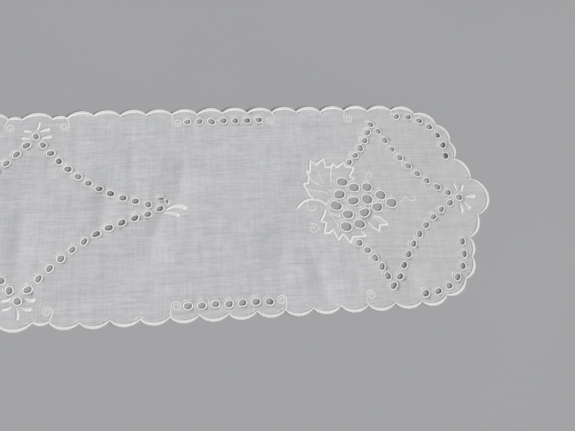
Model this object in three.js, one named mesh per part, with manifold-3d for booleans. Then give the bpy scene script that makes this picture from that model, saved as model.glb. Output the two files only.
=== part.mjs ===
// A white linen table runner with a scalloped edge and eyelet embroidery.
// Millimetres. +X runs along the runner, +Y across it and +Z up from the table top, z = 0.
// The ground cloth lies flat. The stitched pieces lie on it, each in its own solid.
// One half is drawn, and the other half is the same turned through 180 degrees about Z. The two fans of
// petals at the middle are mirror images of each other instead.

import * as THREE from "three";
import { mergeVertices } from "three/addons/utils/BufferGeometryUtils.js";
import Module from "manifold-3d";

const wasm = await Module();
wasm.setup();

// Heights
const CLOTH_THICKNESS = 0.5;
const STITCH_RAISE = 0.6;
const EDGING_RAISE = 0.7;

// Scalloped outline: where neighbouring scallops meet, in the back right quarter
const CENTRE_CUSP = [14.8, 101.5];
const SIDE_START = [28.3, 102.1];
const SIDE_CUSP_Y = 104.3;
const SIDE_PITCH = 26.05;
const SIDE_SCALLOPS = 13;
const HAND_WANDER = 0.4; // cusps and eyelets cut by hand stray this far from a straight line
const WANDER_ANGLE = 2.4; // radians from one to the next, so that no three line up
const END_CUSPS = [
  [393, 99.6],
  [415.1, 84.9],
  [426.2, 63.2],
  [427.6, 43.4],
  [441, 19.8],
];
// How far each scallop bulges past the line between its two ends
const CENTRE_BULGE = 7;
const SMALL_BULGE = 2.6;
const SIDE_BULGE = 5.8;
const END_BULGES = [6.6, 6.2, 5.8, 4.2, 5.6];
const END_MIDDLE_BULGE = 16;
const SCALLOP_STEPS = 3;
const END_MIDDLE_STEPS = 6;

// Buttonhole stitch over the raw edge: a band on top of the cloth and a rim outside it
const EDGING_WIDTH = 3.6;
const EDGING_RIM = 0.5;
const RAW_EDGE_GAP = 0.3;

// Eyelets
const EYELET_HOLE = 3;
const EYELET_RING = 1.6;
const GRAPE_HOLE = 4.6;
const GRAPE_RING = 1.5;
const TURNED_EDGE = 0.3;
const LINK_WIDTH = 1.6;
const HEXAGON_REACH = 1.1; // corner distance of the hexagon with a unit circle's area
const GRAPE_HEADING = 0.71; // radians that a grape's hexagon is turned, so that no corners line up

// Eyelet lines
const CENTRE_STAR = {
  from: [0, 81.4],
  bends: [
    [58, 6],
    [103, 12.5],
  ],
  to: [122.2, 0],
  gaps: 12,
};
const END_STAR_OUTER = {
  from: [341.8, 87],
  bends: [
    [348, 94],
    [359, 31],
  ],
  to: [424.4, 0],
  gaps: 10,
};
const END_STAR_INNER = {
  from: [341.8, 87],
  bends: [
    [333, 70],
    [335.5, 66],
  ],
  to: [313.6, 43.3],
  gaps: 5,
};
const CORNER_ARC = { centre: [374.4, 52], radius: 44.2, from: 93, to: -6.5, eyelets: 7 };
const SIDE_ROW = { x: 148.3, y: 94.7, pitch: 12.35, eyelets: 7 };
// The grape bunch, a slanted column to a line, from the stem to the tip
const GRAPES = [
  [294.5, -3.8], [299.4, 8], [303.6, 21.6],
  [302.6, -26.2], [305.6, -13.4], [312.7, 0.7], [315.1, 15.1],
  [316.2, -24], [322.7, -12.2], [327.2, 1.8], [328.7, 15],
  [336.7, -7], [341.8, 5.8],
  [352, -3],
];

// Satin stitch lines
const LEAF_LINE = 1.8;
const VEIN_LINE = 1.1;
const STEM_LINE = 2;
const TENDRIL_LINE = 1;
const CURVE_STEPS = 2; // along each stretch of a curved line
const MITRE_LIMIT = 0.35;

const UPPER_LEAF = [
  [269, 8], [264.5, 17.5], [263.5, 21], [268.5, 21.5], [270, 28.5], [267.5, 35], [271, 33],
  [273, 46], [278.5, 41.5], [286.5, 47.5], [287.5, 39], [294, 38.5], [295.5, 42], [300, 38],
  [307, 43], [309.5, 38.5], [317.5, 37], [314.5, 31.5], [312, 27.8], [316.5, 24.5],
];
const UPPER_LEAF_VEINS = [
  [[295.5, 41.5], [292.5, 31.5], [292, 22]],
  [[270, 28.5], [274, 23], [279.5, 19.5]],
];
const LOWER_LEAF = [
  [283.5, -7.5], [282, -12], [277.5, -19.5], [283, -21], [280, -32], [285, -32], [288.5, -29],
  [293.5, -39.5], [298, -33.5], [305, -43], [308, -36.5], [321, -36.5], [317, -32.3],
];
const SMALL_LEAF = [
  [325.5, -23], [328.5, -27.5], [335.5, -32], [336.5, -25.5], [345, -25.5], [337.5, -18], [331.5, -16],
];
const STEM = [[255, -5.5], [259, -1], [265, 3], [271, 4], [277.5, 2.8], [281.5, 0.4], [285.3, -3]];
const STEM_TENDRIL = [
  [266.5, 3], [265.5, -1], [265.8, -5], [268.5, -8], [273, -6.5], [274, -3.5], [271, -2.5],
];
const LEAF_TENDRIL = [
  [265, -20.5], [268.5, -21.8], [272.2, -22.6], [274.6, -25.4], [273.4, -29],
  [269.8, -30.8], [266.3, -29.2], [266.6, -26.2], [269, -25], [271.4, -26.9],
];
const TIP_TENDRIL = [
  [359.4, -2.4], [362.4, -1.9], [364.6, -0.4], [365.2, 2], [367.4, 2.6], [369, 1],
  [371.8, -0.9], [375.2, -1.4], [378.2, 0.1], [377.6, 2.7], [374.9, 2.5],
];
const TOP_TENDRIL = [[329.2, 22.6], [328.8, 26.4], [330.6, 30], [334, 30.2], [335.2, 27.4], [332.8, 25.8]];

// A scroll: a leg springs from a cusp of the edging, and its end curls in on itself
const SCROLL = { leg: 4.3, rise: 10, radius: 4.8, turns: 1.6, shrink: 0.75, width: 1.1 };
const LEG_STEPS = 2;
const CURL_STEPS = 12;
// The cusps along a side that carry a scroll, and which way it curls: 1 towards the runner's end.
// The leg bows this far beyond its cusp, away from the curl.
const SCROLL_CUSPS = [
  { name: "centre", cusp: 0, curl: -1, bow: 2.4 },
  { name: "row_start", cusp: 4, curl: 1, bow: -0.6 },
  { name: "row_finish", cusp: 8, curl: -1, bow: 1.8 },
  { name: "end_star", cusp: 11, curl: 1, bow: 0.8 },
];

// Petals: the angle where the foot leaves the carrying thread, tip, width and sideways bend.
// The carrying thread runs round the outside of the eyelet at the star's point.
const CARRY_WIDTH = 1.1;
const CARRY_RADIUS = 6;
const CARRY_STEP = 30; // degrees
const SIDE_FAN = {
  eyelet: [0, 81.4],
  carry: [-28, 210],
  petals: [
    { angle: -28, tip: [15.4, 80.9], width: 4.6, bend: 1 },
    { angle: 58, tip: [13, 89.2], width: 4.2, bend: 0.9 },
    { angle: 92, tip: [1.8, 98], width: 2.6, bend: -0.9 },
    { angle: 128, tip: [-12.6, 88], width: 3.4, bend: -0.6 },
    { angle: 210, tip: [-14.2, 79.9], width: 3.6, bend: -0.9 },
  ],
};
const CENTRE_SPRAY = {
  eyelet: [122.2, 0],
  carry: [-60, 60],
  petals: [
    { angle: 32, tip: [119.4, 12], width: 4.2, bend: -4.6 },
    { angle: -34, tip: [147.8, -1.2], width: 4.6, bend: 5 },
    { angle: -62, tip: [140.4, -8.6], width: 4, bend: 2.6 },
  ],
};
const END_FAN = {
  eyelet: [424.4, 0],
  carry: [-112, 112],
  petals: [
    { angle: 101, tip: [420.6, 16.4], width: 2.9, bend: -0.6 },
    { angle: 54, tip: [431.2, 14], width: 3.6, bend: 0.6 },
    { angle: 2, tip: [442.2, 0.4], width: 5, bend: 0.6 },
    { angle: -50, tip: [434.6, -12.4], width: 4.4, bend: -0.8 },
    { angle: -101, tip: [424.6, -17.4], width: 3.6, bend: 0.6 },
  ],
};
// Half width of a petal along its length, from foot to tip, in shares of its length and half width
const PETAL_SHAPE = [
  [0, 0.2],
  [0.4, 0.72],
  [0.72, 1],
  [0.95, 0.7],
];

const LINEN = { color: 0xc9cacd, roughness: 0.95, metalness: 0 };
const THREAD = { color: 0xe9e6df, roughness: 0.7, metalness: 0 };

const at = ([x, y]) => new THREE.Vector2(x, y);
const turned = (points) => points.map((p) => new THREE.Vector2(-p.x, -p.y));
const flippedY = (points) => points.map((p) => new THREE.Vector2(p.x, -p.y));
const flippedX = (points) => points.map((p) => new THREE.Vector2(-p.x, p.y));
const radians = THREE.MathUtils.degToRad;

function polar(centre, radius, angle) {
  return new THREE.Vector2(
    centre.x + radius * Math.cos(angle),
    centre.y + radius * Math.sin(angle),
  );
}

function direction(from, to) {
  return to.clone().sub(from).normalize();
}

// The left-hand side of a direction
function leftOf(v) {
  return new THREE.Vector2(-v.y, v.x);
}

// A plate between two heights. The rim is turned counter-clockwise, as ExtrudeGeometry needs it.
function extruded(rim, holes, bottom, top) {
  const clockwise = THREE.ShapeUtils.isClockWise(rim);
  const shape = new THREE.Shape(clockwise ? [...rim].reverse() : rim);
  shape.holes = holes.map((hole) => new THREE.Path(hole));
  const geometry = new THREE.ExtrudeGeometry(shape, { depth: top - bottom, bevelEnabled: false });
  return geometry.translate(0, 0, bottom);
}

function solidOf(geometry) {
  const bare = geometry.clone();
  bare.deleteAttribute("normal");
  bare.deleteAttribute("uv");
  const merged = mergeVertices(bare);
  return new wasm.Manifold(
    new wasm.Mesh({
      numProp: 3,
      vertProperties: merged.attributes.position.array,
      triVerts: new Uint32Array(merged.index.array),
    }),
  );
}

function geometryOf(solid) {
  const mesh = solid.getMesh();
  const geometry = new THREE.BufferGeometry();
  geometry.setAttribute("position", new THREE.BufferAttribute(mesh.vertProperties, 3));
  geometry.setIndex(new THREE.BufferAttribute(mesh.triVerts, 1));
  geometry.computeVertexNormals();
  return geometry;
}

function joined(geometries) {
  return geometryOf(geometries.map(solidOf).reduce((whole, solid) => whole.add(solid)));
}

const runner = new THREE.Group();
runner.name = "table_runner";

function add(name, geometry, finish) {
  const mesh = new THREE.Mesh(geometry, new THREE.MeshStandardMaterial(finish));
  mesh.name = name;
  runner.add(mesh);
}

function wander(k) {
  return HAND_WANDER * Math.sin(k * WANDER_ANGLE);
}

// --- Scalloped outline ---

// The cusps along the back edge of one side, from the centre towards the end
function sideCusps() {
  const cusps = [at(SIDE_START)];
  for (let k = 1; k <= SIDE_SCALLOPS; k++) {
    cusps.push(new THREE.Vector2(SIDE_START[0] + k * SIDE_PITCH, SIDE_CUSP_Y + wander(k)));
  }
  return cusps;
}

// Every scallop in order, clockwise from the back edge's middle: its first cusp and its bulge
function scallops() {
  const quarter = [at(CENTRE_CUSP), ...sideCusps(), ...END_CUSPS.map(at)];
  const bulges = [SMALL_BULGE, ...Array(SIDE_SCALLOPS).fill(SIDE_BULGE), ...END_BULGES];
  const half = [...quarter, ...flippedY(quarter).reverse()];
  const halfBulges = [...bulges, END_MIDDLE_BULGE, ...[...bulges].reverse(), CENTRE_BULGE];
  const steps = halfBulges.map((b) => (b === END_MIDDLE_BULGE ? END_MIDDLE_STEPS : SCALLOP_STEPS));
  return {
    cusps: [...half, ...turned(half)],
    bulges: [...halfBulges, ...halfBulges],
    steps: [...steps, ...steps],
  };
}

// A circular arc from a to b that bulges to the left, without its last point
function arc(a, b, bulge, steps) {
  const half = a.distanceTo(b) / 2;
  const radius = (half * half + bulge * bulge) / (2 * bulge);
  const middle = a.clone().add(b).multiplyScalar(0.5);
  const outward = leftOf(direction(a, b));
  const centre = middle.clone().addScaledVector(outward, bulge - radius);
  const first = Math.atan2(a.y - centre.y, a.x - centre.x);
  const sweep = 2 * Math.atan2(half, radius - bulge);
  return Array.from({ length: steps }, (_, k) => polar(centre, radius, first - (sweep * k) / steps));
}

// The scalloped outline, drawn in by inset along its whole length
function outline(inset) {
  const { cusps, bulges, steps } = scallops();
  const count = cusps.length;
  const outward = cusps.map((cusp, i) => leftOf(direction(cusp, cusps[(i + 1) % count])));
  const moved = cusps.map((cusp, i) => {
    const normal = outward[i].clone().add(outward[(i + count - 1) % count]).normalize();
    return cusp.clone().addScaledVector(normal, -inset);
  });
  return moved.flatMap((start, i) => {
    const next = (i + 1) % count;
    const apex = cusps[i].clone().add(cusps[next]).multiplyScalar(0.5);
    apex.addScaledVector(outward[i], bulges[i] - inset);
    const bulge = apex.sub(start).dot(leftOf(direction(start, moved[next])));
    return arc(start, moved[next], bulge, steps[i]);
  });
}

// --- Eyelets ---

function eyeletLine({ from, bends, to, gaps }) {
  const curve = new THREE.CubicBezierCurve(at(from), at(bends[0]), at(bends[1]), at(to));
  return curve.getSpacedPoints(gaps);
}

function cornerArc() {
  const { centre, radius, from, to, eyelets } = CORNER_ARC;
  const step = (to - from) / (eyelets - 1);
  return Array.from({ length: eyelets }, (_, k) => polar(at(centre), radius, radians(from + k * step)));
}

function sideRow() {
  const { x, y, pitch, eyelets } = SIDE_ROW;
  return Array.from({ length: eyelets }, (_, k) => new THREE.Vector2(x + k * pitch, y + wander(k)));
}

// A hexagon with the area of a circle of this radius
function hexagon(centre, radius, heading) {
  return Array.from({ length: 6 }, (_, k) =>
    polar(centre, radius * HEXAGON_REACH, heading + (k * Math.PI) / 3),
  );
}

// The direction of a line of points at each of them
function headings(points) {
  return points.map((_, i) => {
    const v = direction(points[Math.max(i - 1, 0)], points[Math.min(i + 1, points.length - 1)]);
    return Math.atan2(v.y, v.x);
  });
}

// Stitched rings round a line of eyelets, linked by the thread that runs between them
function eyeletRun(points) {
  const reach = (EYELET_HOLE + EYELET_RING) * HEXAGON_REACH;
  const heading = headings(points);
  const last = points.length - 1;
  const side = (sign) =>
    points.flatMap((centre, i) => {
      const corners = [polar(centre, reach, heading[i] + (sign * Math.PI * 2) / 3)];
      corners.push(polar(centre, reach, heading[i] + (sign * Math.PI) / 3));
      if (i < last) {
        const middle = centre.clone().add(points[i + 1]).multiplyScalar(0.5);
        const across = leftOf(direction(centre, points[i + 1]));
        corners.push(middle.addScaledVector(across, (sign * LINK_WIDTH) / 2));
      }
      return corners;
    });
  const head = polar(points[0], -reach, heading[0]);
  const tail = polar(points[last], reach, heading[last]);
  const rim = [head, ...side(-1), tail, ...side(1).reverse()];
  const holes = points.map((centre, i) => hexagon(centre, EYELET_HOLE, heading[i]));
  return extruded(rim, holes, CLOTH_THICKNESS, CLOTH_THICKNESS + STITCH_RAISE);
}

// A ring round each grape's hole. The thread that links each ring to the nearest one before it joins them.
function grapeRings(points) {
  const top = CLOTH_THICKNESS + STITCH_RAISE;
  const rings = points.map((centre) =>
    extruded(
      hexagon(centre, GRAPE_HOLE + GRAPE_RING, GRAPE_HEADING),
      [hexagon(centre, GRAPE_HOLE, GRAPE_HEADING)],
      CLOTH_THICKNESS,
      top,
    ),
  );
  const links = points.slice(1).map((centre, i) => {
    const nearest = points
      .slice(0, i + 1)
      .reduce((best, p) => (p.distanceTo(centre) < best.distanceTo(centre) ? p : best));
    const toward = direction(centre, nearest);
    const edge = GRAPE_HOLE + GRAPE_RING / 2;
    const line = [
      centre.clone().addScaledVector(toward, edge),
      nearest.clone().addScaledVector(toward, -edge),
    ];
    return extruded(ribbon(line, LINK_WIDTH), [], CLOTH_THICKNESS, top);
  });
  return joined([...rings, ...links]);
}

// --- Satin stitch lines ---

// The outline of a ribbon that follows a line, mitred at its corners
function ribbon(line, width) {
  const last = line.length - 1;
  const sides = [1, -1].map((sign) =>
    line.map((here, i) => {
      const before = leftOf(direction(line[Math.max(i - 1, 0)], line[Math.max(i, 1)]));
      const after = leftOf(direction(line[Math.min(i, last - 1)], line[Math.min(i + 1, last)]));
      const across = before.clone().add(after).normalize();
      const reach = width / 2 / Math.max(across.dot(before), MITRE_LIMIT);
      return here.clone().addScaledVector(across, sign * reach);
    }),
  );
  return [...sides[0], ...sides[1].reverse()];
}

function satin(line, width) {
  return extruded(ribbon(line, width), [], CLOTH_THICKNESS, CLOTH_THICKNESS + STITCH_RAISE);
}

function smooth(points) {
  const curve = new THREE.SplineCurve(points);
  return curve.getPoints((points.length - 1) * CURVE_STEPS);
}

function leaf(line, veins) {
  if (veins.length === 0) {
    return satin(line, LEAF_LINE);
  }
  return joined([satin(line, LEAF_LINE), ...veins.map((vein) => satin(vein, VEIN_LINE))]);
}

// A scroll's line from its cusp, whose inward direction is -Y on the back edge
function scroll(cusp, curl, bow) {
  const { leg, rise, radius, turns, shrink } = SCROLL;
  const start = new THREE.Vector2(cusp.x, cusp.y - leg);
  const pull = new THREE.Vector2(cusp.x - curl * bow, cusp.y - (leg + rise) / 2);
  const finish = new THREE.Vector2(cusp.x - curl * bow, cusp.y - rise);
  const centre = new THREE.Vector2(finish.x + curl * radius, finish.y);
  const curled = Array.from({ length: CURL_STEPS }, (_, k) => {
    const share = (k + 1) / CURL_STEPS;
    const angle = 2 * Math.PI * turns * share;
    const reach = radius * (1 - shrink * share);
    return new THREE.Vector2(
      centre.x - curl * reach * Math.cos(angle),
      centre.y - reach * Math.sin(angle),
    );
  });
  return [...new THREE.QuadraticBezierCurve(start, pull, finish).getPoints(LEG_STEPS), ...curled];
}

// --- Petals ---

function petal(eyelet, { angle, tip, width, bend }, place) {
  const start = polar(at(eyelet), CARRY_RADIUS, radians(angle));
  const along = at(tip).sub(start);
  const across = leftOf(along.clone().normalize());
  const sides = [1, -1].map((sign) =>
    PETAL_SHAPE.map(([share, half]) => {
      const offset = (sign * half * width) / 2 + bend * 4 * share * (1 - share);
      return start.clone().addScaledVector(along, share).addScaledVector(across, offset);
    }),
  );
  const rim = place([...sides[0], at(tip), ...sides[1].reverse()]);
  return extruded(rim, [], CLOTH_THICKNESS, CLOTH_THICKNESS + STITCH_RAISE);
}

// Petals round a star's point, joined by the thread carried round the outside of its eyelet
function petalFan({ eyelet, carry, petals }, place) {
  const [from, to] = carry;
  const steps = Math.ceil((to - from) / CARRY_STEP);
  const line = Array.from({ length: steps + 1 }, (_, k) =>
    polar(at(eyelet), CARRY_RADIUS, radians(from + ((to - from) * k) / steps)),
  );
  return joined([satin(place(line), CARRY_WIDTH), ...petals.map((each) => petal(eyelet, each, place))]);
}

// --- Build ---

const asDrawn = (points) => points;
const ends = [
  { end: "right", place: asDrawn },
  { end: "left", place: turned },
];
const backRow = "back";
const frontRow = "front";
const holes = [];

function addEyeletRun(name, points) {
  add(name, eyeletRun(points), THREAD);
  const heading = headings(points);
  points.forEach((centre, i) => {
    holes.push(hexagon(centre, EYELET_HOLE + TURNED_EDGE, heading[i]));
  });
}

// Centre star: four arms, each with the eyelet at one of the star's points
const arm = eyeletLine(CENTRE_STAR);
const armWithSidePoint = arm.slice(0, -1);
const armWithEndPoint = arm.slice(1);
addEyeletRun("centre_star_arm_back_right", armWithSidePoint);
addEyeletRun("centre_star_arm_front_right", flippedY(armWithEndPoint));
addEyeletRun("centre_star_arm_front_left", turned(armWithSidePoint));
addEyeletRun("centre_star_arm_back_left", flippedX(armWithEndPoint));

for (const { end, place } of ends) {
  const sides = [
    { side: end === "right" ? backRow : frontRow, across: asDrawn },
    { side: end === "right" ? frontRow : backRow, across: flippedY },
  ];

  for (const { side, across } of sides) {
    const put = (points) => place(across(points));
    const outer = eyeletLine(END_STAR_OUTER);
    const outerRun = across === asDrawn ? outer : outer.slice(0, -1);
    addEyeletRun(`end_star_outer_arm_${side}_${end}`, put(outerRun));
    addEyeletRun(`end_star_inner_arm_${side}_${end}`, put(eyeletLine(END_STAR_INNER).slice(1)));
    addEyeletRun(`corner_arc_${side}_${end}`, put(cornerArc()));
    addEyeletRun(`side_row_${side}_${end}`, put(sideRow()));

    const cusps = sideCusps();
    for (const { name, cusp, curl, bow } of SCROLL_CUSPS) {
      const scrollLine = put(scroll(cusps[cusp], curl, bow));
      add(`scroll_${name}_${side}_${end}`, satin(scrollLine, SCROLL.width), THREAD);
    }
  }

  const bunch = place(GRAPES.map(at));
  add(`grape_bunch_${end}`, grapeRings(bunch), THREAD);
  bunch.forEach((centre) => {
    holes.push(hexagon(centre, GRAPE_HOLE + TURNED_EDGE, GRAPE_HEADING));
  });

  const line = (points) => place(points.map(at));
  add(`upper_leaf_${end}`, leaf(line(UPPER_LEAF), UPPER_LEAF_VEINS.map(line)), THREAD);
  add(`lower_leaf_${end}`, leaf(line(LOWER_LEAF), []), THREAD);
  add(`small_leaf_${end}`, leaf(line(SMALL_LEAF), []), THREAD);
  const tendril = (points) => satin(smooth(line(points)), TENDRIL_LINE);
  add(`stem_${end}`, joined([satin(smooth(line(STEM)), STEM_LINE), tendril(STEM_TENDRIL)]), THREAD);
  add(`leaf_tendril_${end}`, tendril(LEAF_TENDRIL), THREAD);
  add(`tip_tendril_${end}`, tendril(TIP_TENDRIL), THREAD);
  add(`top_tendril_${end}`, tendril(TOP_TENDRIL), THREAD);

  add(`petal_spray_centre_${end}`, petalFan(CENTRE_SPRAY, place), THREAD);
  add(`petal_fan_end_${end}`, petalFan(END_FAN, place), THREAD);
}

add("petal_fan_centre_back", petalFan(SIDE_FAN, asDrawn), THREAD);
add("petal_fan_centre_front", petalFan(SIDE_FAN, flippedY), THREAD);

// Edging: a band of stitches, with the room that the cloth's raw edge takes cut out from below
const band = extruded(outline(0), [outline(EDGING_WIDTH)], 0, CLOTH_THICKNESS + EDGING_RAISE);
const clothRoom = extruded(
  outline(EDGING_RIM),
  [outline(EDGING_WIDTH + EDGING_RIM)],
  -CLOTH_THICKNESS,
  CLOTH_THICKNESS,
);
add("scalloped_edging", geometryOf(solidOf(band).subtract(solidOf(clothRoom))), THREAD);

const clothOutline = outline(EDGING_RIM + RAW_EDGE_GAP);
add("ground_cloth", extruded(clothOutline, holes, 0, CLOTH_THICKNESS), LINEN);

export default runner;
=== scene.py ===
"""A white linen table runner with a scalloped, buttonhole-stitched edge and eyelet embroidery.

Metres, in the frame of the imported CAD: +X along the runner, +Y across it, +Z up from the table top.
As in the CAD, the embroidery is drawn at the right-hand end and turned through 180 degrees about Z
for the left-hand end. The scrolls at the back mirror those at the front, and so does the petal fan
in the middle. The eyelets and the edging are read from the CAD nodes. The satin-stitched lines
repeat the CAD's lines.
"""

import math

import bpy
import numpy as np
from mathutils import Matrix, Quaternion, Vector
from mathutils.geometry import delaunay_2d_cdt


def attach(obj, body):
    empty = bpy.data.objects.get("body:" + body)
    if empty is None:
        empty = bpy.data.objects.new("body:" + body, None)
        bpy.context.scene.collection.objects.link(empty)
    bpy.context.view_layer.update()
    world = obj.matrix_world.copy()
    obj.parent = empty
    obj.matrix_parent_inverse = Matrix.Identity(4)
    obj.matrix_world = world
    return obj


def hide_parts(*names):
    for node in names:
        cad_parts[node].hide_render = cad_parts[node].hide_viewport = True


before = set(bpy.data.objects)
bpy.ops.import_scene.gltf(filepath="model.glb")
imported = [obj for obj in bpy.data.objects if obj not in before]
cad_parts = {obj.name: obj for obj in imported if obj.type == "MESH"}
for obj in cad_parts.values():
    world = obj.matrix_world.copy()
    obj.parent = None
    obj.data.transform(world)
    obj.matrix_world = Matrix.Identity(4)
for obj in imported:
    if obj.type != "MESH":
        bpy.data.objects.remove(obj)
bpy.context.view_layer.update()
rng = np.random.default_rng(11)

MM = 0.001
TURN = 2 * math.pi
ENDS = {"right": 1, "left": -1}
SIDES = {"back": 1, "front": -1}

# Heights over the table top where the runner lies flat
CLOTH_MIDDLE = 0.30 * MM
CLOTH_HALF = 0.16 * MM
BACK_DEPTH = 0.27 * MM  # how far stitches stand out below the cloth's middle

# Stitches: each takes SAMPLES points along its row
SAMPLES = 3
SATIN_PITCH = 0.55 * MM
RING_PITCH = 0.60 * MM
EDGING_PITCH = 0.75 * MM
RIDGE_DEPTH = 0.30  # share of the height lost between two stitches
RIDGE_FULLNESS = 0.6  # an exponent: less than 1 makes broad stitches with narrow grooves between
SERRATION = 0.07  # share of the reach lost between two stitches
UNEVEN = 0.05  # how much one stitch differs from the next, as a share

# Satin lines
SATIN_FULLNESS = 0.5  # an exponent: less than 1 squares the shoulders of the section
SATIN_SLANT = 0.8  # how many stitches the left edge leads by
PETAL_SLANT = 0.5
SWAY = 0.1 * MM  # how far a line wanders from its course
SWAY_LENGTH = 3.1 * MM  # over which its sway turns by one radian
END_BLUNTNESS = 0.06  # how much of a line's round end is cut off, as a share of its half width
LOW_WIDTH = 0.25  # a line's height falls with its width, down to this share of the full width
FEWEST_STEPS = 5
TOOTH_OVERLAP = 0.28  # how far a bar of a toothed line runs past a corner, as a share of its width
TOOTH_BOW = 0.12  # how far such a bar typically bows, in millimetres

# Eyelets
HEXAGON_CORNERS = 6  # each hole is a hexagon in the CAD
HEXAGON_REACH = 1.1  # its corner distance for a circle of radius 1
HEXAGON_SLACK = 0.02  # the most its corner distances differ, as a share
HOLE_STRETCH = 0.115  # how far a hole's reach along and across its row is from its mean, as a share
STRETCH_SPREAD = 0.04
SIZE_SPREAD = 0.04  # how far holes differ in size, as a share
LEAN_SPREAD = 0.3  # how far holes lean from their row, in radians
WOBBLE = (0.01, 0.045)  # the least and most that a hole is out of round, as shares
GRAPE_LEAN = -0.17  # heading of a grape's longer axis, in radians
EYELET_RING = 1.4 * MM
EYELET_RAISE = 0.34 * MM
GRAPE_RING = 1.5 * MM
GRAPE_RAISE = 0.38 * MM
GRAPE_OVER = 4 * MM  # an eyelet of a larger radius is a grape
TURNED_EDGE = 0.35 * MM  # from the hole to where the cloth's cut edge lies in the ring

# Edging
EDGING_RAISE = 0.50 * MM
CUSP_WIDTH = 0.55  # its width at a cusp, as a share of that at the middle of a scallop
CUT_SHARE = 0.3  # how far into the edging the cloth's cut edge lies, from its outer edge

# Widths of the satin lines
LEAF_LINE = 2.5 * MM
VEIN_LINE = 1.5 * MM
FINE_VEIN = 1.0 * MM
STEM_LINE = 2.6 * MM
TENDRIL_LINE = 1 * MM
FOOT_RADIUS = 6 * MM  # from the middle of an eyelet to the feet of the petals round it


# --- Points and lines ---

CAD_PLACES = 6  # the CAD's points are the same if they agree to this many decimal places
CAD_TOLERANCE = 1e-6


def unit(v):
    return v / np.linalg.norm(v, axis=-1, keepdims=True)


def left_of(v):
    return np.stack([-v[..., 1], v[..., 0]], axis=-1)


def heading(angle):
    return np.stack([np.cos(angle), np.sin(angle)], axis=-1)


def resampled(line, spacing):
    step = np.linalg.norm(np.diff(line, axis=0), axis=1)
    along = np.concatenate([[0], np.cumsum(step)])
    at = np.linspace(0, along[-1], max(round(along[-1] / spacing), FEWEST_STEPS) + 1)
    return np.stack([np.interp(at, along, line[:, k]) for k in (0, 1)], axis=1)


def spline(points, steps=8):
    """A smooth (Catmull-Rom) curve through the points, held at its two ends."""
    points = np.asarray(points, dtype=float)
    p = np.concatenate([points[:1], points, points[-1:]])
    t = (np.arange(steps) / steps)[:, None]
    curve = [
        0.5
        * (
            2 * b
            + (c - a) * t
            + (2 * a - 5 * b + 4 * c - d) * t**2
            + (3 * b - a - 3 * c + d) * t**3
        )
        for a, b, c, d in zip(p, p[1:], p[2:], p[3:])
    ]
    return np.concatenate([*curve, points[-1:]])


def flat_rims(node):
    """The rims of a CAD node's flat top face, each an array of points in order."""
    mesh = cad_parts[node].data
    mesh.calc_loop_triangles()
    points = np.array([v.co for v in mesh.vertices])
    corners = np.array([t.vertices for t in mesh.loop_triangles])
    points, same = np.unique(np.round(points, CAD_PLACES), axis=0, return_inverse=True)
    corners = same.reshape(-1)[corners]
    depth = points[:, 2].max() - points[corners][:, :, 2]
    flat = corners[(depth < CAD_TOLERANCE).all(axis=1)]
    edges = np.concatenate([flat[:, [0, 1]], flat[:, [1, 2]], flat[:, [2, 0]]])
    there = set(map(tuple, edges.tolist()))
    follow = {a: b for a, b in sorted(there) if (b, a) not in there}
    rims = []
    while follow:
        here, rim = next(iter(follow)), []
        while here in follow:
            rim.append(here)
            here = follow.pop(here)
        rims.append(points[rim, :2])
    return rims


# --- How the runner lies: soft waves and old creases, and flat on the table between them ---

# Waves: amplitude and wavelength in millimetres, direction in degrees, phase in radians
WAVES = [
    (0.55, 210, 12, 0.6),
    (0.45, 131, -24, 2.3),
    (0.40, 173, 74, 1.1),
    (0.22, 83, 51, 4.2),
    (0.16, 61, -63, 5.0),
    (0.10, 37, 8, 1.7),
    (0.08, 27, 97, 3.6),
    (0.05, 19, -41, 0.4),
]
# Creases, in millimetres: middle, lean (x over y), height, half width and half length
CREASES = [
    (-390, -10, -0.05, 0.8, 8, 60),
    (-305, 30, 0.10, 1.0, 7, 50),
    (-262, -40, -0.12, 1.1, 8, 40),
    (-150, 20, 0.08, 1.3, 8, 45),
    (-75, 60, 0.15, 1.0, 7, 35),
    (-4, -30, -0.03, 1.6, 9, 40),
    (41, 77, -0.10, 1.1, 6, 18),
    (70, 5, 0.10, 1.9, 8, 32),
    (96, 0, -0.03, 0.7, 5, 120),
    (120, -20, 0.26, 1.4, 7, 22),
    (142, 27, 0.10, 1.8, 8, 28),
    (237, -52, 0.06, 0.6, 6, 36),
    (273, -80, -0.26, 1.9, 8, 24),
    (360, -80, 0.07, 1.0, 6, 22),
]
CONTACT = 0.25 * MM  # how softly the waves meet the table
CREASE_ROUNDING = 2.5 * MM


def lift(points):
    """How far the runner rises over the table at some points."""
    x, y = points[..., 0], points[..., 1]
    wave = np.zeros_like(x)
    for amplitude, length, degrees, phase in WAVES:
        along = x * math.cos(math.radians(degrees)) + y * math.sin(math.radians(degrees))
        wave += amplitude * MM * np.sin(TURN * along / (length * MM) + phase)
    rise = np.logaddexp(0, wave / CONTACT) * CONTACT
    for middle_x, middle_y, lean, height, width, length in CREASES:
        along = y - middle_y * MM
        off = x - middle_x * MM - lean * along
        rounded = np.sqrt(off**2 + CREASE_ROUNDING**2) - CREASE_ROUNDING
        rise += height * MM * np.exp(-rounded / (width * MM) - (along / (length * MM)) ** 2)
    return rise


# --- Stitches ---


def satin_section(sides=10):
    """Round a satin line's section from its left edge: how far across and how high, as shares."""
    angle = np.arange(sides) * TURN / sides
    height = np.sign(np.sin(angle)) * np.abs(np.sin(angle)) ** SATIN_FULLNESS
    return np.stack([np.cos(angle), height], axis=1)


SATIN_SECTION = satin_section()
RING_SECTION = satin_section(sides=9)
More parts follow.
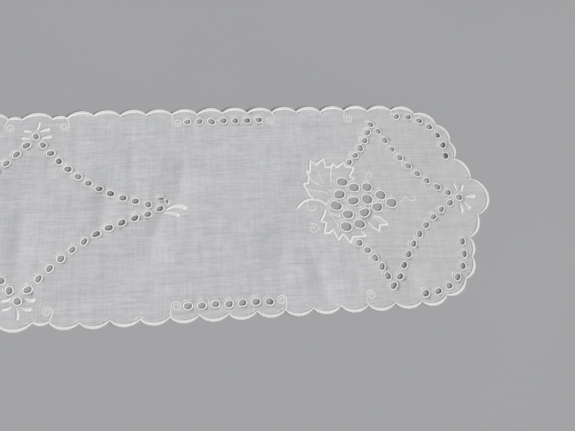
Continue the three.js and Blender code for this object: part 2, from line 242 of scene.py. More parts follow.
# The same for the edging: a bead of knots along its outer edge, then a padded band
EDGING_SECTION = np.array(
    [
        [1.00, 0.15],
        [0.94, 0.85],
        [0.80, 0.95],
        [0.62, 0.55],
        [0.36, 0.85],
        [-0.20, 1.00],
        [-0.72, 0.78],
        [-1.00, 0.00],
        [-0.35, -1.00],
        [0.80, -0.90],
    ]
)


class Stitching:
    """Rows of stitches gathered into one mesh."""

    def __init__(self):
        self.points, self.groove, self.faces, self.count = [], [], [], 0

    def sew(self, line, across, top, section=SATIN_SECTION, closed=False, slant=0.0):
        """A row of stitches along a line. At each of its points, across reaches the row's left edge
        and top is its height over the cloth's middle. The left edge leads by slant stitches."""
        stations, sides = len(line), len(section)
        stitch = np.arange(stations) // SAMPLES
        even = rng.normal(1, UNEVEN, (2, stitch[-1] + 1))[:, stitch]
        phase = (np.arange(stations)[:, None] + 0.5) / SAMPLES + slant * section[None, :, 0]
        ridge = np.abs(np.sin(math.pi * phase)) ** RIDGE_FULLNESS
        reach = section[None, :, 0] * (1 - SERRATION * (1 - ridge)) * even[0][:, None]
        flat = line[:, None, :] + across[:, None, :] * reach[..., None]
        full = np.where(section[:, 1] > 0, (top * even[1])[:, None], BACK_DEPTH)
        height = full * section[:, 1] * (1 - RIDGE_DEPTH * (1 - ridge))
        z = np.maximum(CLOTH_MIDDLE + height, 0) + lift(flat)
        self.points.append(np.concatenate([flat, z[..., None]], axis=2).reshape(-1, 3))
        self.groove.append(1 - ridge.reshape(-1))

        row = np.arange(stations if closed else stations - 1)[:, None]
        side = np.arange(sides)[None, :]
        after, beside = (row + 1) % stations * sides, (side + 1) % sides
        quads = [row * sides + side, row * sides + beside, after + beside, after + side]
        self.faces += (np.stack(quads, axis=-1).reshape(-1, 4) + self.count).tolist()
        if not closed:
            start = np.arange(sides) + self.count
            self.faces += [start[::-1].tolist(), (start + (stations - 1) * sides).tolist()]
        self.count += stations * sides

    def piece(self, name, *nodes):
        """The piece itself, which stands for some CAD nodes."""
        made = add_mesh(name, np.concatenate(self.points), self.faces, thread)
        # The groove share at each point, which the thread material uses to paint shade into the
        # grooves between stitches
        groove = made.data.attributes.new("groove", "FLOAT", "POINT")
        groove.data.foreach_set("value", np.concatenate(self.groove))
        finish_piece(made, nodes)
        return made


def link(thing):
    bpy.context.scene.collection.objects.link(thing)


def add_mesh(name, points, faces, material):
    mesh = bpy.data.meshes.new(name)
    mesh.from_pydata(points, [], faces, shade_flat=False)
    mesh.materials.append(material)
    made = bpy.data.objects.new(name, mesh)
    link(made)
    return made


def finish_piece(piece, nodes):
    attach(piece, "root")
    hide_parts(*nodes)


def satin(stitching, line, width, rise, shape=None, slant=SATIN_SLANT, sway=SWAY):
    """A satin-stitched line. shape gives its share of the full width from start to end."""
    line = resampled(np.asarray(line, dtype=float), SATIN_PITCH / SAMPLES)
    share = np.linspace(0, 1, len(line))
    length = np.linalg.norm(np.diff(line, axis=0), axis=1).sum()
    normal = left_of(unit(np.gradient(line, axis=0)))
    phase = share * length / SWAY_LENGTH + rng.uniform(0, TURN)
    line = line + normal * sway * np.sin(phase)[:, None]
    from_end = np.minimum(share, 1 - share) * length / (width / 2)
    taper = np.sqrt(1 - (1 - np.clip(from_end, END_BLUNTNESS, 1)) ** 2)
    half = width / 2 * taper
    if shape is not None:
        half = half * shape(share)
    top = CLOTH_HALF + rise * taper * np.sqrt(np.clip(half / (width / 2), LOW_WIDTH, 1))
    stitching.sew(line, normal * half[:, None], top, slant=slant)


def satin_teeth(stitching, points, width, rise):
    """A line with sharp corners: one bar of satin stitch for each straight stretch."""
    points = np.asarray(points, dtype=float)
    for a, b in zip(points, points[1:]):
        over = unit(b - a) * width * TOOTH_OVERLAP
        bow = left_of(unit(b - a)) * rng.normal(0, TOOTH_BOW) * MM
        satin(stitching, spline([a - over, (a + b) / 2 + bow, b + over]), width, rise)


# --- Eyelets ---


class Eyelet:
    """A stitched hole, out of round. It is longer along its row, or a grape along GRAPE_LEAN."""

    def __init__(self, corners, row):
        self.centre = corners.mean(axis=0)
        self.radius = np.linalg.norm(corners - self.centre, axis=1).mean() / HEXAGON_REACH
        self.grape = self.radius > GRAPE_OVER
        self.radius *= rng.normal(1, SIZE_SPREAD)
        self.ring = GRAPE_RING if self.grape else EYELET_RING
        self.rise = GRAPE_RAISE if self.grape else EYELET_RAISE
        self.stretch = rng.normal(HOLE_STRETCH, STRETCH_SPREAD)
        self.lean = (GRAPE_LEAN if self.grape else row) + rng.normal(0, LEAN_SPREAD)
        self.wobble, self.phase = rng.uniform(*WOBBLE), rng.uniform(0, TURN)

    def rim(self, angle, out=0.0):
        """The rim of the hole at some angles, or a line that far outside it."""
        oval = self.stretch * np.cos(2 * (angle - self.lean))
        radius = self.radius * (1 + oval + self.wobble * np.cos(3 * angle + self.phase))
        return self.centre + heading(angle) * (radius + out)[:, None]

    def sew_ring(self, stitching):
        stitches = round(TURN * (self.radius + self.ring / 2) / RING_PITCH)
        angle = np.arange(stitches * SAMPLES) * TURN / (stitches * SAMPLES)
        across = -heading(angle) * self.ring / 2
        top = np.full(len(angle), CLOTH_HALF + self.rise)
        stitching.sew(self.rim(angle, self.ring / 2), across, top, RING_SECTION, closed=True)


def eyelets_of(node):
    """The eyelets of a CAD node, in order along X."""
    found = []
    for rim in flat_rims(node):
        reach = np.linalg.norm(rim - rim.mean(axis=0), axis=1)
        if len(rim) == HEXAGON_CORNERS and np.ptp(reach) < HEXAGON_SLACK * reach.mean():
            found.append(rim)
    found.sort(key=lambda rim: rim[:, 0].mean())
    way = np.gradient([rim.mean(axis=0) for rim in found], axis=0)
    return [Eyelet(rim, math.atan2(y, x)) for rim, (x, y) in zip(found, way)]


every_eyelet = []


def add_eyelets(name, *nodes):
    stitching = Stitching()
    for node in nodes:
        eyelets = eyelets_of(node)
        for eyelet in eyelets:
            eyelet.sew_ring(stitching)
        every_eyelet.extend(eyelets)
    return stitching.piece(name, *nodes)


# --- Edging ---


def is_cusp(rim):
    """True at the points of a clockwise rim where it turns to the left."""
    before, after = rim - np.roll(rim, 1, axis=0), np.roll(rim, -1, axis=0) - rim
    return before[:, 0] * after[:, 1] - before[:, 1] * after[:, 0] > 0


def arc_through(points):
    """The arc through the first, a middle and the last of some points, as a function of the share
    along it, and its length."""
    a, m, b = points[0], points[len(points) // 2], points[-1]
    chord, lean = b - a, m - a
    across = left_of(unit(chord))
    along, off = np.dot(lean, unit(chord)), np.dot(lean, across)
    length = np.linalg.norm(chord)
    # The centre is over the chord's middle, as far from a as it is from m
    rise = (along**2 + off**2 - along * length) / (2 * off)
    centre = (a + b) / 2 + across * rise
    first = math.atan2(*(a - centre)[::-1])
    sweep = (math.atan2(*(b - centre)[::-1]) - first) % -TURN
    radius = np.linalg.norm(a - centre)
    return (lambda share: centre + radius * heading(first + sweep * share)), radius * abs(sweep)


def scallop_rims():
    """The edging's outer and inner rims, clockwise and both from the same cusp."""
    outer, inner = sorted(flat_rims("scalloped_edging"), key=lambda rim: -np.ptp(rim[:, 0]))
    outer = outer[::-1]
    first = int(np.argmax(is_cusp(outer)))
    outer = np.roll(outer, -first, axis=0)
    inner = np.roll(inner, -int(np.argmin(np.linalg.norm(inner - outer[0], axis=1))), axis=0)
    return outer, inner


outer_rim, inner_rim = scallop_rims()
cusps = outer_rim[is_cusp(outer_rim)]


def edging_rows(pitch, samples):
    """Matching points along the outer and inner rims, scallop by scallop."""
    starts = np.flatnonzero(is_cusp(outer_rim))
    rows = []
    for i, start in enumerate(starts):
        end = starts[i + 1] if i + 1 < len(starts) else len(outer_rim)
        part = np.arange(start, end + 1) % len(outer_rim)
        outer, length = arc_through(outer_rim[part])
        inner, _ = arc_through(inner_rim[part])
        count = round(length / pitch) * samples
        share = np.arange(count) / count
        width = 1 - (1 - CUSP_WIDTH) * np.abs(2 * share[:, None] - 1) ** 2
        rows.append(np.stack([outer(share), outer(share) + (inner(share) - outer(share)) * width]))
    return np.concatenate(rows, axis=1)


def add_edging():
    outer, inner = edging_rows(EDGING_PITCH, SAMPLES)
    stitching = Stitching()
    top = np.full(len(outer), CLOTH_HALF + EDGING_RAISE)
    across = (outer - inner) / 2
    stitching.sew((outer + inner) / 2, across, top, EDGING_SECTION, closed=True)
    return stitching.piece("scalloped_edging_stitches", "scalloped_edging")


# --- Embroidered lines, in millimetres, at the right-hand end ---

UPPER_LEAF = [
    (272, 5.2), (269, 8), (264.5, 17.5), (263.5, 21), (268.5, 21.5), (270, 28.5), (267.5, 35),
    (271, 33), (273, 46), (278.5, 41.5), (286.5, 47.5), (287.5, 39), (294, 38.5), (295.5, 42),
    (300, 38), (307, 43), (309.5, 38.5), (317.5, 37), (314.5, 31.5), (312, 27.8), (316.5, 24.5),
]
UPPER_LEAF_VEINS = [
    [(295.5, 41.5), (292.5, 31.5), (292, 22)],
    [(270, 28.5), (274, 23), (279.5, 19.5)],
]
UPPER_LEAF_FINE_VEINS = [
    [(280.3, 35.5), (281, 29), (282.6, 24.4), (285.4, 20)],
    [(266.8, 15.8), (271.5, 13.8), (277.5, 12.9), (283.5, 11.6), (288, 9)],
    [(287, 15.5), (290, 13), (292.5, 12.2)],
]
LOWER_LEAF = [
    (283.5, -7.5), (282, -12), (277.5, -19.5), (283, -21), (280, -32), (285, -32), (288.5, -29),
    (293.5, -39.5), (298, -33.5), (305, -43), (308, -36.5), (321, -36.5), (317, -32.3),
]
LOWER_LEAF_FINE_VEINS = [
    [(287, -8), (288.5, -13.5), (291.5, -19.5), (295, -25)],
    [(289, -11), (294, -14.5), (298, -16)],
]
SMALL_LEAF = [
    (325.5, -23), (328.5, -27.5), (335.5, -32), (336.5, -25.5), (345, -25.5), (337.5, -18),
    (331.5, -16),
]
SMALL_LEAF_FINE_VEINS = [[(328.6, -18.6), (333, -19.2), (337, -21.6), (340.6, -24.4)]]
STEM = [(255, -5.5), (259, -1), (265, 3), (271, 4), (277.5, 2.8), (281.5, 0.4), (285.3, -3)]
TENDRILS = {
    "stem": [
        (266.5, 3), (265.5, -1), (265.8, -5), (268.5, -8), (273, -6.5), (274, -3.5), (271, -2.5),
    ],
    "leaf": [
        (265, -20.5), (268.5, -21.8), (272.2, -22.6), (274.6, -25.4), (273.4, -29),
        (269.8, -30.8), (266.3, -29.2), (266.6, -26.2), (269, -25), (271.4, -26.9),
    ],
    "tip": [
        (359.4, -2.4), (362.4, -1.9), (364.6, -0.4), (365.2, 2), (367.4, 2.6), (369, 1),
        (371.8, -0.9), (375.2, -1.4), (378.2, 0.1), (377.6, 2.7), (374.9, 2.5),
    ],
    "top": [(329.2, 22.6), (328.8, 26.4), (330.6, 30), (334, 30.2), (335.2, 27.4), (332.8, 25.8)],
}
# A scroll: a leg springs from a cusp of the edging, and its end curls in on itself
SCROLL = {"leg": 1.7, "rise": 10, "radius": 4.8, "turns": 1.6, "shrink": 0.75, "width": 1.1}
# The cusp of each, counted from 0 at the runner's middle, which way it curls (1 is towards the end),
# and how far its leg bows away from the curl
SCROLL_CUSPS = {
    "centre": (1, -1, 2.4),
    "row_start": (5, 1, -0.6),
    "row_finish": (9, -1, 1.8),
    "end_star": (12, 1, 0.8),
}

# Petals round an eyelet at a star's point: the angle of the foot, the tip, the width and the bend
CENTRE_FAN = {
    "eyelet": (0, 81.4),
    "petals": [
        (-28, (15.4, 80.9), 4.6, 1),
        (58, (13, 89.2), 4.2, 0.9),
        (92, (1.8, 98), 2.6, -0.9),
        (128, (-12.6, 88), 3.4, -0.6),
        (210, (-14.2, 79.9), 3.6, -0.9),
    ],
}
CENTRE_SPRAY = {
    "eyelet": (122.2, 0),
    "petals": [
        (32, (119.4, 12), 4.2, -4.6),
        (-34, (147.8, -1.2), 5.2, 5),
        (-62, (140.4, -8.6), 4.4, 2.6),
    ],
}
END_FAN = {
    "eyelet": (424.4, 0),
    "petals": [
        (101, (420.6, 16.4), 2.9, -0.6),
        (54, (431.2, 14), 3.6, 0.6),
        (2, (442.2, 0.4), 5, 0.6),
        (-50, (434.6, -12.4), 4.4, -0.8),
        (-101, (424.6, -17.4), 3.6, 0.6),
    ],
}
# A petal's width, as a share of its full width, at some shares of its length from its foot
PETAL_SHARE = [0, 0.15, 0.4, 0.65, 0.85, 1]
PETAL_WIDTH = [0.2, 0.42, 0.82, 1, 0.97, 0.75]
# What is left of the spray's first petal at the right-hand end, where it is worn: lines and widths
WORN_PETAL = [
    ([(129.2, 3.4), (130.9, 6), (130.5, 9.2)], 1.7),
    ([(127.6, 10.9), (126.2, 9.6), (125, 8.7)], 1.6),
    ([(125.4, 12.3), (122.6, 12.8), (119.8, 11.8)], 1.1),
    ([(124.4, 8.5), (122.4, 8.8), (120.2, 8.9)], 0.8),
]

# How far the satin lines stand out over the cloth
LEAF_RAISE = 0.38 * MM
VEIN_RAISE = 0.26 * MM
FINE_RAISE = 0.12 * MM
TENDRIL_RAISE = 0.18 * MM
PETAL_RAISE = 0.55 * MM

LEG_STEPS = 8
CURL_POINTS = 60
PETAL_POINTS = 25


def placed(points, flip):
    """Points in metres. flip is 1 or -1, or one of them for each coordinate."""
    return np.asarray(points, dtype=float) * MM * flip


def add_leaves(end, turn):
    stitching = Stitching()
    for outline in (UPPER_LEAF, LOWER_LEAF, SMALL_LEAF):
        satin_teeth(stitching, placed(outline, turn), LEAF_LINE, LEAF_RAISE)
    for vein in UPPER_LEAF_VEINS:
        satin(stitching, spline(placed(vein, turn)), VEIN_LINE, VEIN_RAISE)
    for vein in UPPER_LEAF_FINE_VEINS + LOWER_LEAF_FINE_VEINS + SMALL_LEAF_FINE_VEINS:
        satin(stitching, spline(placed(vein, turn)), FINE_VEIN, FINE_RAISE)
    nodes = [f"{leaf}_leaf_{end}" for leaf in ("upper", "lower", "small")]
    return stitching.piece(f"vine_leaves_{end}_stitches", *nodes)


def add_stem(end, turn):
    stitching = Stitching()
    satin(stitching, spline(placed(STEM, turn)), STEM_LINE, LEAF_RAISE)
    for line in TENDRILS.values():
        satin(stitching, spline(placed(line, turn)), TENDRIL_LINE, TENDRIL_RAISE)
    # The stem's own tendril is part of the stem's node
    nodes = [f"stem_{end}", *(f"{place}_tendril_{end}" for place in TENDRILS if place != "stem")]
    return stitching.piece(f"stem_and_tendrils_{end}_stitches", *nodes)


def scroll_line(cusp, flip, curl, bow):
    """From a cusp of the edging inwards, curling in on itself."""
    leg, rise, radius = SCROLL["leg"], SCROLL["rise"], SCROLL["radius"]
    start, finish = np.array([0, -leg]), np.array([-curl * bow, -rise])
    pull = np.array([finish[0], (start[1] + finish[1]) / 2])
    t = (np.arange(LEG_STEPS) / LEG_STEPS)[:, None]
    stalk = start * (1 - t) ** 2 + pull * 2 * t * (1 - t) + finish * t**2
    share = np.linspace(0, 1, CURL_POINTS)
    angle = TURN * SCROLL["turns"] * share
    reach = radius * (1 - SCROLL["shrink"] * share)
    along = curl * (radius - reach * np.cos(angle))
    curled = finish + np.stack([along, -reach * np.sin(angle)], axis=1)
    return cusp + flip * np.concatenate([stalk, curled]) * MM


def add_scrolls(end, turn):
    stitching, nodes = Stitching(), []
    for side, across in SIDES.items():
        flip = np.array([turn, across])
        quarter = sorted((c for c in cusps if (c * flip > 0).all()), key=lambda c: abs(c[0]))
        for name, (cusp, curl, bow) in SCROLL_CUSPS.items():
            line = scroll_line(quarter[cusp], flip, curl, bow)
            satin(stitching, line, SCROLL["width"] * MM, TENDRIL_RAISE)
            nodes.append(f"scroll_{name}_{side}_{end}")
    return stitching.piece(f"scrolls_{end}_stitches", *nodes)


def petal_width(share):
    return np.interp(share, PETAL_SHARE, PETAL_WIDTH)


def add_petals(name, fan, flip, node, worn=False):
    """The petals of a fan. Where it is worn, WORN_PETAL stands in for the first of them."""
    stitching = Stitching()
    flip = np.array(flip)
    eyelet = placed(fan["eyelet"], flip)
    t = np.linspace(0, 1, PETAL_POINTS)[:, None]
    for angle, tip, width, bend in fan["petals"][1:] if worn else fan["petals"]:
        foot = eyelet + flip * heading(math.radians(angle)) * FOOT_RADIUS
        along = placed(tip, flip) - foot
        line = foot + along * t + left_of(unit(along)) * flip.prod() * bend * MM * 4 * t * (1 - t)
        satin(stitching, line, width * MM, PETAL_RAISE, petal_width, PETAL_SLANT, sway=0)
    for line, width in WORN_PETAL if worn else ():
        satin(stitching, spline(placed(line, flip)), width * MM, VEIN_RAISE)
    return stitching.piece(name, node)


# --- Cloth ---

GRID = 3.2 * MM
GRID_ROW = math.sqrt(0.75)  # from one row of the grid to the next, as a share of GRID
GRID_JITTER = 0.16  # as a share of GRID
EDGE_CLEARANCE = 1.5 * MM  # from the grid's points to an edge
CUT_PITCH = 1.5 * MM  # from point to point along the cloth's cut edge
RIM_POINTS = 26
TEAR_POINTS = 14
WELD = 1e-7  # points of the cloth nearer than this are one
INSIDE_LOOPS = 1  # delaunay_2d_cdt's number for keeping only the triangles inside the loops
# Tears in the cloth under the worn petal, in millimetres: middle, half length, half width; degrees
TEARS = [((122.8, 10.6), 2.3, 0.75, -3), ((128.8, 7.4), 1.0, 0.75, -74)]
CHUNK = 2000  # points dealt with at a time


def inside(points, rim):
    """Whether each point is inside a closed rim."""
    a, b = rim, np.roll(rim, -1, axis=0)
    result = []
    for part in np.array_split(points, len(points) // CHUNK + 1):
        x, y = part[:, :1], part[:, 1:]
        spans = (a[:, 1] > y) != (b[:, 1] > y)
        run = np.where(a[:, 1] == b[:, 1], 1, b[:, 1] - a[:, 1])
        at = a[:, 0] + (y - a[:, 1]) * (b[:, 0] - a[:, 0]) / run
        result.append((spans & (x < at)).sum(axis=1) % 2 == 1)
    return np.concatenate(result)


def distance_to(points, others):
    """How far each point is from the nearest of some others."""
    parts = np.array_split(points, len(points) // CHUNK + 1)
    return np.concatenate(
        [np.linalg.norm(part[:, None] - others[None], axis=2).min(axis=1) for part in parts]
    )


def tear_rim(middle, half_length, half_width, degrees):
    angle = np.arange(TEAR_POINTS) * TURN / TEAR_POINTS
    along = heading(math.radians(degrees))
    flat = np.stack([np.cos(angle) * half_length, np.sin(angle) * half_width], axis=1)
    return (np.asarray(middle) + flat[:, :1] * along + flat[:, 1:] * left_of(along)) * MM


def cloth_grid(outline):
    """Points over the cloth, in rows that are a little uneven."""
    low, high = outline.min(axis=0), outline.max(axis=0)
    across = np.arange(low[1], high[1], GRID * GRID_ROW)
    along = np.arange(low[0], high[0], GRID)
    x, y = np.meshgrid(along, across)
    x = x + (np.arange(len(across)) % 2)[:, None] * GRID / 2
    points = np.stack([x.ravel(), y.ravel()], axis=1)
    points += rng.uniform(-GRID_JITTER, GRID_JITTER, points.shape) * GRID
    points = points[inside(points, outline)]
    return points[distance_to(points, outline) > EDGE_CLEARANCE]


def add_cloth():
    outer, inner = edging_rows(CUT_PITCH, 1)
    outline = outer + (inner - outer) * CUT_SHARE
    angle = np.arange(RIM_POINTS) * TURN / RIM_POINTS
    rims = [eyelet.rim(angle, TURNED_EDGE) for eyelet in every_eyelet]
    rims += [tear_rim(*tear) for tear in TEARS]
    grid = cloth_grid(outline)
    for rim in rims:
        middle = rim.mean(axis=0)
        reach = np.linalg.norm(rim - middle, axis=1).max() + EDGE_CLEARANCE
        grid = grid[np.linalg.norm(grid - middle, axis=1) > reach]
    loops = [outline, *rims]
    flat = np.concatenate([*loops, grid])
    edges, rim_of, start = [], [], 0
    for k, loop in enumerate(loops):
        index = np.arange(len(loop)) + start
        edges += np.stack([index, np.roll(index, -1)], axis=1).tolist()
        rim_of += [k] * len(loop)
        start += len(loop)
    rim_of = np.array(rim_of + [-1] * len(grid))
    result = delaunay_2d_cdt([Vector(p) for p in flat], edges, [], INSIDE_LOOPS, WELD)
    points, triangles, origin = np.array(result[0]), np.array(result[2]), result[3]
    rim_of = rim_of[[o[0] for o in origin]]
    a, b, c = (rim_of[triangles[:, k]] for k in range(3))
    triangles = triangles[~((a == b) & (b == c) & (a > 0))]

    count = len(points)
    rise = CLOTH_MIDDLE + lift(points)
    top = np.column_stack([points, rise + CLOTH_HALF])
    bottom = np.column_stack([points, rise - CLOTH_HALF])
    directed = np.concatenate([triangles[:, [0, 1]], triangles[:, [1, 2]], triangles[:, [2, 0]]])
    there = set(map(tuple, directed.tolist()))
    walls = [(b, a, a + count, b + count) for a, b in sorted(there) if (b, a) not in there]
    faces = triangles.tolist() + (triangles[:, ::-1] + count).tolist() + walls
    cloth = add_mesh("linen_ground", np.concatenate([top, bottom]), faces, linen)
    finish_piece(cloth, ["ground_cloth"])
    return cloth


# --- Materials ---

# Noises, each with its scale along each axis and its share
# Uneven yarns, first along the runner and then across it
SLUBS = [((26, 560, 1), 0.9), ((110, 400, 1), 0.75), ((560, 30, 1), 0.65)]
# Long streaks of closer and looser yarns, along the runner and across it, and blotches
STREAKS = [((9, 150, 1), 0.4), ((170, 9, 1), 0.35), ((60, 60, 1), 0.4)]
WEAR_SCALE = (420, 420, 420)
FIBRE_SCALE = (2600, 2600, 2600)
THREAD_SCALE = (60, 60, 60)
FLOOR_SCALE = (3, 3, 3)

LINEN_DARK = (0.476, 0.478, 0.484, 1)
LINEN_LIGHT = (0.668, 0.668, 0.668, 1)
LINEN_AGED = (0.560, 0.540, 0.512, 1)
# The thread's light and dark colours: the dark one is both the fibres' own darker tone and painted
# shade in the grooves between stitches
THREAD_LIGHT = (0.900, 0.892, 0.872, 1)
THREAD_DARK = (0.560, 0.552, 0.535, 1)
THREAD_AGED = (0.810, 0.795, 0.765, 1)
WEAR_COLOUR = (0.42, 0.33, 0.24, 1)
FLOOR_DARK = (0.385, 0.386, 0.390, 1)
FLOOR_LIGHT = (0.415, 0.416, 0.420, 1)

YARN_PITCH = 0.46 * MM
YARN_DRIFT = 0.35 * MM  # how far the yarns wander from straight
DRIFT_SCALE = 180.0
CROSSING = 0.25  # how soft the change is from one yarn on top to the other
WEAVE_RELIEF = 0.35  # the weave's share of the bump, beside the slubs' own
PAINTED_GROOVE_SHADE = 0.75  # painted shade: how much darker the thread is painted in the grooves between stitches
FIBRE_SHADE = 0.3
AGED_FROM, AGED_TO = 0.30, 0.46  # metres from the runner's middle over which the cloth yellows
# The worn spot beside one star's point, in metres
WEAR_MIDDLE = (0.1262, 0.0102, 0.0)
WEAR_REACH = 0.0062
WEAR_CORE = 0.35  # share of the reach within which the wear is full


def add_node(tree, kind, inputs=(), **settings):
    made = tree.nodes.new(kind)
    for key, value in settings.items():
        setattr(made, key, value)
    for key, value in dict(inputs).items():
        socket = made.inputs[key]
        if isinstance(value, bpy.types.NodeSocket):
            tree.links.new(value, socket)
        else:
            socket.default_value = value
    return made


def new_material(name, finish):
    """A material, its node tree, its shader and the place on it. finish is the same all over it."""
    made = bpy.data.materials.new(name)
    made.use_nodes = True
    tree = made.node_tree
    shader = tree.nodes["Principled BSDF"]
    for key, value in finish.items():
        shader.inputs[key].default_value = value
    place = tree.nodes.new("ShaderNodeTexCoord").outputs["Object"]
    return made, tree, shader, place


def math_node(tree, operation, a, b=0.0, c=0.0):
    return add_node(tree, "ShaderNodeMath", {0: a, 1: b, 2: c}, operation=operation).outputs[0]


def vector_node(tree, operation, inputs, output="Vector"):
    return add_node(tree, "ShaderNodeVectorMath", inputs, operation=operation).outputs[output]


def separated(tree, vector):
    return add_node(tree, "ShaderNodeSeparateXYZ", {0: vector}).outputs


def map_range(tree, value, low, high, to_low=0.0, to_high=1.0):
    inputs = {0: value, 1: low, 2: high, 3: to_low, 4: to_high}
    return add_node(tree, "ShaderNodeMapRange", inputs).outputs[0]


def mix(tree, share, a, b):
    return add_node(tree, "ShaderNodeMix", {0: share, 2: a, 3: b}, data_type="FLOAT").outputs[0]


def mix_colour(tree, share, a, b):
    return add_node(tree, "ShaderNodeMix", {0: share, 6: a, 7: b}, data_type="RGBA").outputs[2]


def noise(tree, place, scale, detail=2.0):
    """Noise in shares from 0 to 1, with its own scale along each axis."""
    stretched = add_node(tree, "ShaderNodeMapping", {"Vector": place, "Scale": scale}).outputs[0]
    inputs = {"Vector": stretched, "Scale": 1.0, "Detail": detail}
    return add_node(tree, "ShaderNodeTexNoise", inputs).outputs[0]


def weighted_noises(tree, place, layers):
    """The sum of some noises, each times its share."""
    total = 0.0
    for scale, share in layers:
        total = math_node(tree, "MULTIPLY_ADD", noise(tree, place, scale), share, total)
    return total


def add_bump(tree, shader, height, strength, distance):
    inputs = {"Height": height, "Strength": strength, "Distance": distance}
    bump = add_node(tree, "ShaderNodeBump", inputs).outputs[0]
    tree.links.new(bump, shader.inputs["Normal"])


def browned(tree, place, colour, strength):
    """The colour, browned round the worn spot beside one star's point."""
    away = vector_node(tree, "DISTANCE", {0: place, 1: WEAR_MIDDLE}, output="Value")
    near = map_range(tree, away, low=WEAR_REACH, high=WEAR_REACH * WEAR_CORE)
    patchy = map_range(tree, noise(tree, place, WEAR_SCALE), low=0.35, high=0.7)
    share = math_node(tree, "MULTIPLY", math_node(tree, "MULTIPLY", near, patchy), strength)
    return mix_colour(tree, share, colour, WEAR_COLOUR)


def drifted(tree, place):
    """The place moved a little to and fro, so that the yarns wander."""
    inputs = {"Vector": place, "Scale": DRIFT_SCALE, "Detail": 1.0}
    wander = add_node(tree, "ShaderNodeTexNoise", inputs).outputs[1]
    drift = vector_node(tree, "SCALE", {0: wander, "Scale": YARN_DRIFT})
    return vector_node(tree, "ADD", {0: place, 1: drift})


def plain_weave(tree, place):
    """The height, from 0 to 1, of a plain weave, whose yarns pass over and under each other."""
    parts = separated(tree, drifted(tree, place))
    turns = [
        math_node(tree, "SINE", math_node(tree, "MULTIPLY", parts[k], math.pi / YARN_PITCH))
        for k in (0, 1)
    ]
    warp_over = map_range(tree, math_node(tree, "MULTIPLY", *turns), low=-CROSSING, high=CROSSING)
    yarns = [math_node(tree, "ABSOLUTE", turn) for turn in turns]
    return mix(tree, warp_over, yarns[1], yarns[0])


def make_linen():
    finish = {"Roughness": 0.9, "Sheen Weight": 0.12, "Specular IOR Level": 0.25}
    made, tree, shader, place = new_material("linen", finish)
    slubs = weighted_noises(tree, place, SLUBS)
    streaks = weighted_noises(tree, place, STREAKS)
    tone = map_range(tree, math_node(tree, "ADD", slubs, streaks), low=1.28, high=2.18)
    colour = mix_colour(tree, tone, LINEN_DARK, LINEN_LIGHT)
    end = math_node(tree, "ABSOLUTE", separated(tree, place)[0])
    aged = map_range(tree, end, AGED_FROM, AGED_TO, to_high=0.45)
    colour = mix_colour(tree, aged, colour, LINEN_AGED)
    weave = plain_weave(tree, place)
    # Painted shade from the weave: the cloth is painted darker where the yarns dip between each other
    # and lighter where they cross over
    shade = map_range(tree, weave, low=0.1, high=0.9, to_low=0.93, to_high=1.03)
    colour = vector_node(tree, "SCALE", {0: colour, "Scale": shade})
    tree.links.new(browned(tree, place, colour, strength=0.8), shader.inputs["Base Color"])
    height = math_node(tree, "ADD", math_node(tree, "MULTIPLY", weave, WEAVE_RELIEF), slubs)
    add_bump(tree, shader, height, strength=0.55, distance=0.12 * MM)
    return made


def make_thread():
    finish = {"Sheen Weight": 0.2, "Specular IOR Level": 0.35}
    made, tree, shader, place = new_material("thread", finish)
    groove = add_node(tree, "ShaderNodeAttribute", attribute_name="groove").outputs["Fac"]
    fibre = noise(tree, place, FIBRE_SCALE, detail=3.0)
    tone = noise(tree, place, THREAD_SCALE)
    # Painted shade in the grooves between stitches, added to the fibres' own random tone, darkens the
    # thread towards THREAD_DARK
    painted_groove_shade = math_node(tree, "MULTIPLY", groove, PAINTED_GROOVE_SHADE)
    fibre_shade = math_node(tree, "MULTIPLY", fibre, FIBRE_SHADE)
    shade = math_node(tree, "ADD", painted_groove_shade, fibre_shade)
    colour = mix_colour(tree, shade, THREAD_LIGHT, THREAD_DARK)
    aged = map_range(tree, tone, low=0.3, high=0.75, to_high=0.5)
    colour = mix_colour(tree, aged, colour, THREAD_AGED)
    tree.links.new(browned(tree, place, colour, strength=0.6), shader.inputs["Base Color"])
    roughness = map_range(tree, fibre, low=0.3, high=0.7, to_low=0.45, to_high=0.65)
    tree.links.new(roughness, shader.inputs["Roughness"])
    add_bump(tree, shader, fibre, strength=0.4, distance=0.08 * MM)
    return made


def make_floor_paint():
    finish = {"Roughness": 0.9, "Specular IOR Level": 0.2}
    made, tree, shader, place = new_material("pale_floor", finish)
    colour = mix_colour(tree, noise(tree, place, FLOOR_SCALE), FLOOR_DARK, FLOOR_LIGHT)
    tree.links.new(colour, shader.inputs["Base Color"])
    return made


# --- Floor, light and camera ---

FLOOR_REACH = 3.0
FLOOR_DROP = 0.05 * MM  # keeps the floor clear of the runner's flat underside
KEY_ENERGY = 3.0
KEY_SPREAD = 24  # degrees that the light is across, so that shadows are soft
KEY_COLOUR = (1.0, 0.99, 0.975)
KEY_WAY = (-1.7, 1.25, -1.15)  # the way the light shines
CAMERA_PLACE = (0.19934, -0.15415, 0.42552)
CAMERA_AIM = (0.24546, -0.01205, 0)
CAMERA_ROLL = 14.632  # degrees
LENS, SENSOR_WIDTH = 28.607, 36  # millimetres
SKY_COLOUR = (0.94, 0.96, 1.0, 1)
SKY_STRENGTH = 0.47


def add_floor():
    signs = [(-1, -1), (1, -1), (1, 1), (-1, 1)]
    corners = [(FLOOR_REACH * x, FLOOR_REACH * y, -FLOOR_DROP) for x, y in signs]
    add_mesh("floor", corners, [[0, 1, 2, 3]], make_floor_paint())


def add_key_light():
    """A broad, even light from the front and the right-hand end, low enough to show the relief."""
    light = bpy.data.lights.new("key", "SUN")
    light.energy, light.angle, light.color = KEY_ENERGY, math.radians(KEY_SPREAD), KEY_COLOUR
    lamp = bpy.data.objects.new("key", light)
    lamp.rotation_mode = "QUATERNION"
    lamp.rotation_quaternion = Vector(KEY_WAY).to_track_quat("-Z", "Y")
    link(lamp)


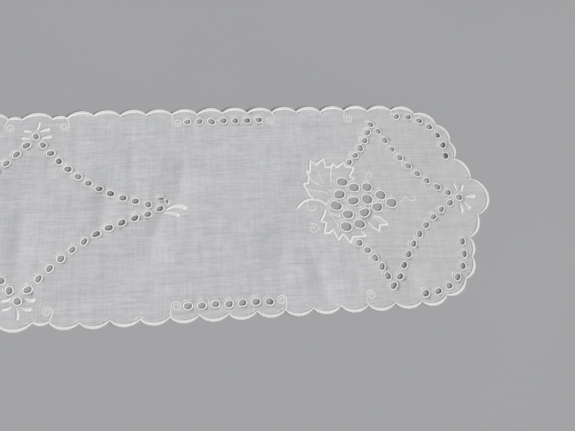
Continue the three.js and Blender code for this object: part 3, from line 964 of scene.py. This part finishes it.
def add_camera():
    camera = bpy.data.cameras.new("camera")
    camera.lens, camera.sensor_width = LENS, SENSOR_WIDTH
    camera.clip_start = 0.01
    holder = bpy.data.objects.new("camera", camera)
    holder.location = CAMERA_PLACE
    holder.rotation_mode = "QUATERNION"
    level = (Vector(CAMERA_AIM) - Vector(CAMERA_PLACE)).to_track_quat("-Z", "Y")
    holder.rotation_quaternion = level @ Quaternion((0, 0, 1), math.radians(CAMERA_ROLL))
    link(holder)
    bpy.context.scene.camera = holder


def add_world():
    world = bpy.data.worlds.new("studio")
    world.use_nodes = True
    sky = world.node_tree.nodes["Background"].inputs
    sky["Color"].default_value = SKY_COLOUR
    sky["Strength"].default_value = SKY_STRENGTH
    bpy.context.scene.world = world


# --- Build ---

add_camera()
add_world()
add_key_light()
add_floor()

linen = make_linen()
thread = make_thread()
trim = [add_edging()]
for end, turn in ENDS.items():
    arms = [f"centre_star_arm_{side}_{end}" for side in SIDES]
    trim.append(add_eyelets(f"centre_star_{end}_eyelets", *arms))
    arms = [f"end_star_{arm}_arm_{side}_{end}" for arm in ("outer", "inner") for side in SIDES]
    trim.append(add_eyelets(f"end_star_{end}_eyelets", *arms))
    for row in ("corner_arc", "side_row"):
        trim.append(add_eyelets(f"{row}_{end}_eyelets", *(f"{row}_{side}_{end}" for side in SIDES)))
    trim.append(add_eyelets(f"grape_bunch_{end}_eyelets", f"grape_bunch_{end}"))
    trim.append(add_leaves(end, turn))
    trim.append(add_stem(end, turn))
    trim.append(add_scrolls(end, turn))
    spray, fan = f"petal_spray_centre_{end}", f"petal_fan_end_{end}"
    flip, worn = (turn, turn), end == "right"
    trim.append(add_petals(f"{spray}_stitches", CENTRE_SPRAY, flip, spray, worn))
    trim.append(add_petals(f"{fan}_stitches", END_FAN, flip, fan))
for side, across in SIDES.items():
    node = f"petal_fan_centre_{side}"
    trim.append(add_petals(f"{node}_stitches", CENTRE_FAN, (1, across), node))
cloth = add_cloth()

bpy.context.scene.view_settings.view_transform = "Standard"
